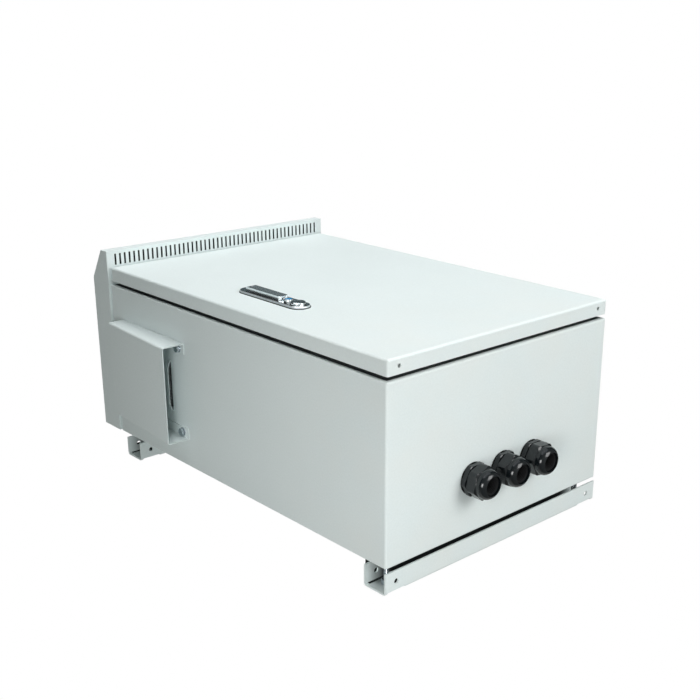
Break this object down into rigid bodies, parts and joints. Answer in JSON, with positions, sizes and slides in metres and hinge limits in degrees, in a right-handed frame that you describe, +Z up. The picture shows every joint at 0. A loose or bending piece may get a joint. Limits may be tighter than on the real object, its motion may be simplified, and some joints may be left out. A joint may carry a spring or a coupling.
{
  "type": "utility cabinet",
  "caption": "Light grey folded-steel roadside cabinet with hinged door, chrome swing-lever lock, sloped roof, side vent hood, cable glands and rear wall rails.",
  "frame": {"origin": "middle of the four wall slots, on the plane that the rear rails bear on", "axes": "+Z up, +Y into the wall so the door faces -Y, +X to the hinge side"},
  "size_m": [0.4375, 0.3158, 0.6817],
  "materials": {
    "light_grey_coat": "satin powder coat with a fine orange peel",
    "zinc_plate": "bright zinc plate",
    "chrome_plate": "polished chrome plate",
    "black_rubber": "matte rubber",
    "black_plastic": "moulded satin plastic",
    "blue_plastic": "glossy moulded plastic",
    "galvanised_sheet": "galvanised",
    "steel_mesh": "plain stainless mesh",
    "brass": "plain"
  },
  "bodies": {
    "cabinet": {"body_wrap": "light_grey_coat", "rear_panel": "light_grey_coat", "roof_hood": "light_grey_coat", "roof_bolts": "zinc_plate", "roof_nuts": "zinc_plate", "hinge_body_leaves": "zinc_plate", "hinge_pins": "zinc_plate", "vent_cover": "light_grey_coat", "vent_cover_bolts": "zinc_plate", "vent_cover_washers": "zinc_plate", "vent_cover_nuts": "zinc_plate", "vent_mesh": "steel_mesh", "gland_washers": "black_rubber", "gland_bodies": "black_plastic", "gland_inserts": "black_rubber", "gland_dome_nuts": "black_plastic", "gland_locknuts": "black_plastic", "lower_rail": "light_grey_coat", "upper_rail": "light_grey_coat", "rail_studs": "zinc_plate", "rail_nuts": "zinc_plate", "mounting_plate": "galvanised_sheet", "plate_studs": "zinc_plate", "plate_nuts": "zinc_plate", "earth_stud": "brass", "earth_nuts": "zinc_plate"},
    "door": {"door_panel": "light_grey_coat", "door_stiffener": "light_grey_coat", "door_gasket": "black_rubber", "hinge_door_leaves": "zinc_plate", "lock_gasket": "black_rubber", "lock_plate": "chrome_plate", "key_barrel": "chrome_plate", "lock_nuts": "zinc_plate", "button_case_cap": "black_plastic"},
    "hub": {"lever_hub": "chrome_plate", "spindle_clip": "zinc_plate", "latch_cam": "zinc_plate", "cam_screw": "zinc_plate"},
    "lever": {"lever": "chrome_plate", "lever_pin": "zinc_plate"},
    "button": {"lock_button": "blue_plastic"},
    "key": {"key_plug": "chrome_plate", "key_clip": "zinc_plate"}
  },
  "joints": [
    {"name": "door_hinge", "type": "hinge", "parent": "cabinet", "child": "door", "pos_m": [0.192, -0.2763, 0], "axis": [0, 0, 1], "range_deg": [0, 110]},
    {"name": "handle_turn", "type": "hinge", "parent": "door", "child": "hub", "pos_m": [-0.131, -0.2923, 0.0495], "axis": [0, -1, 0], "range_deg": [0, 90]},
    {"name": "handle_lift", "type": "hinge", "parent": "hub", "child": "lever", "pos_m": [-0.131, -0.2985, 0.0495], "axis": [-1, 0, 0], "range_deg": [0, 35]},
    {"name": "button_press", "type": "slide", "parent": "door", "child": "button", "axis": [0, 1, 0], "range_m": [0, 0.0025], "stiffness_N_per_m": 400},
    {"name": "key_turn", "type": "hinge", "parent": "door", "child": "key", "pos_m": [-0.131, -0.2923, -0.0505], "axis": [0, -1, 0], "range_deg": [0, 90]}
  ]
}
